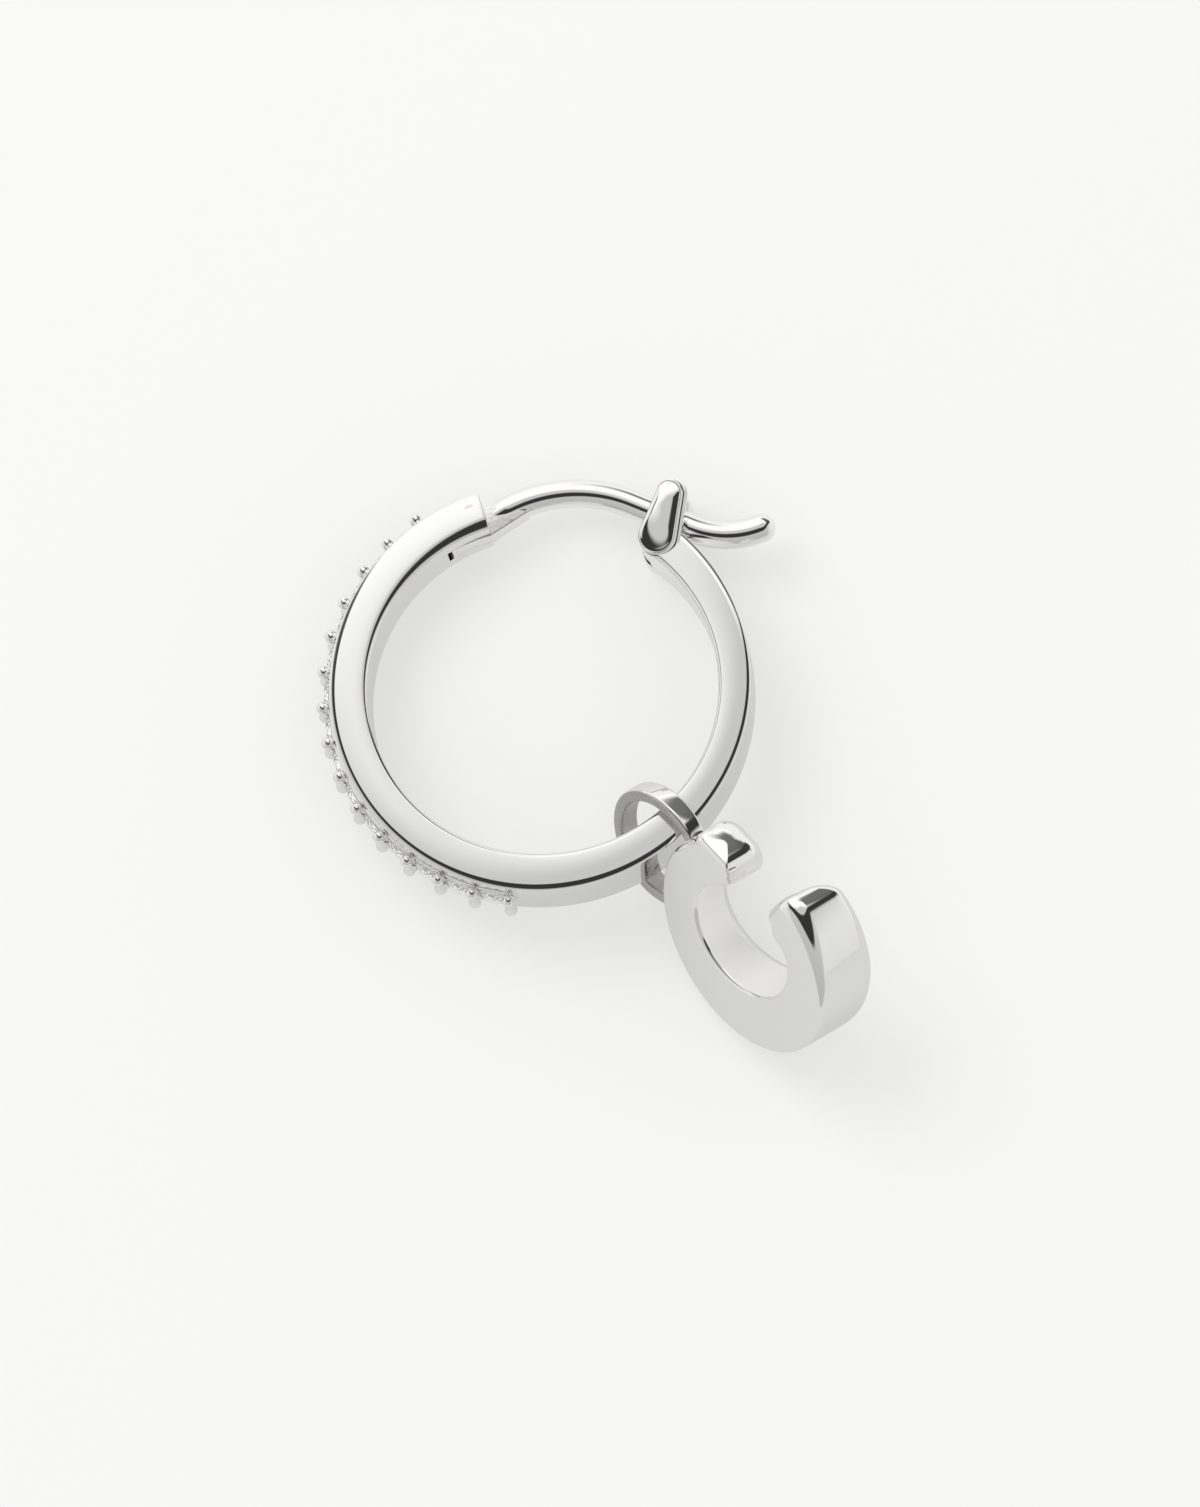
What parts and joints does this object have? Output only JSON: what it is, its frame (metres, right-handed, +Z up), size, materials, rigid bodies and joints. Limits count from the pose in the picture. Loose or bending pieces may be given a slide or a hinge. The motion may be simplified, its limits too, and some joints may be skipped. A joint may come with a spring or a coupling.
{
  "type": "hoop charm earring",
  "caption": "Polished hoop earring with small clear stones set along its outer rim, a hinged ear wire that snaps into a fork, and a thick open curl charm on a loop bail.",
  "frame": {"origin": "on the surface the earring lies on, at the middle of its footprint's bounding box", "axes": "+Z up from the surface; +X from the stone row's side towards the plain side; +Y from the charm towards the ear wire"},
  "size_m": [0.0194, 0.0208, 0.0081],
  "materials": {
    "silver": "high polish",
    "stone": "clear, faceted"
  },
  "bodies": {
    "earring": {"hoop": "silver", "hinge_pin": "silver", "charm": "silver", "stone_01": "stone", "stone_02": "stone", "stone_03": "stone", "stone_04": "stone", "stone_05": "stone", "stone_06": "stone", "stone_07": "stone", "stone_08": "stone", "stone_09": "stone", "stone_10": "stone", "stone_11": "stone", "stone_12": "stone", "stone_13": "stone", "stone_14": "stone"},
    "ear_wire": {"ear_wire": "silver"}
  },
  "joints": [
    {"name": "ear_wire_hinge", "type": "hinge", "parent": "earring", "child": "ear_wire", "pos_m": [-0.00426, 0.00903, 0.00127], "axis": [-0.0567, 0.0948, 0.9939], "range_deg": [0, 75]}
  ]
}
